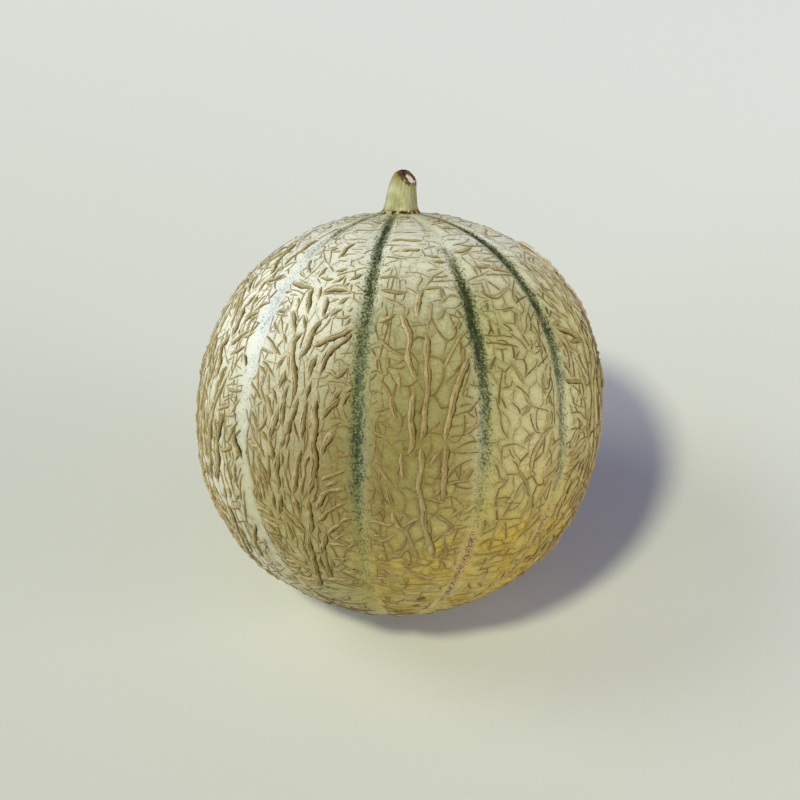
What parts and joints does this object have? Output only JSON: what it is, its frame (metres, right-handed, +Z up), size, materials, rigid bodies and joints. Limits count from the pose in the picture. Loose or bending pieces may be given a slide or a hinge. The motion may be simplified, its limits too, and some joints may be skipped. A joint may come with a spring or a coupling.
{
  "type": "netted melon",
  "caption": "Round ribbed melon with a raised cork net between smooth furrows and a short stub of stem, resting tipped back on a small flat spot.",
  "frame": {"origin": "middle of the flat spot that the fruit rests on", "axes": "+Z up, square to the rest spot; the front of the fruit faces -Y, and the stem tips back towards +Y"},
  "size_m": [0.1413, 0.142, 0.1408],
  "materials": {
    "rind": "matt pale green rind with beige cork ridges",
    "stem": "satin fibrous green stem"
  },
  "bodies": {
    "root": {"fruit": "rind", "stem": "stem"}
  },
  "joints": []
}
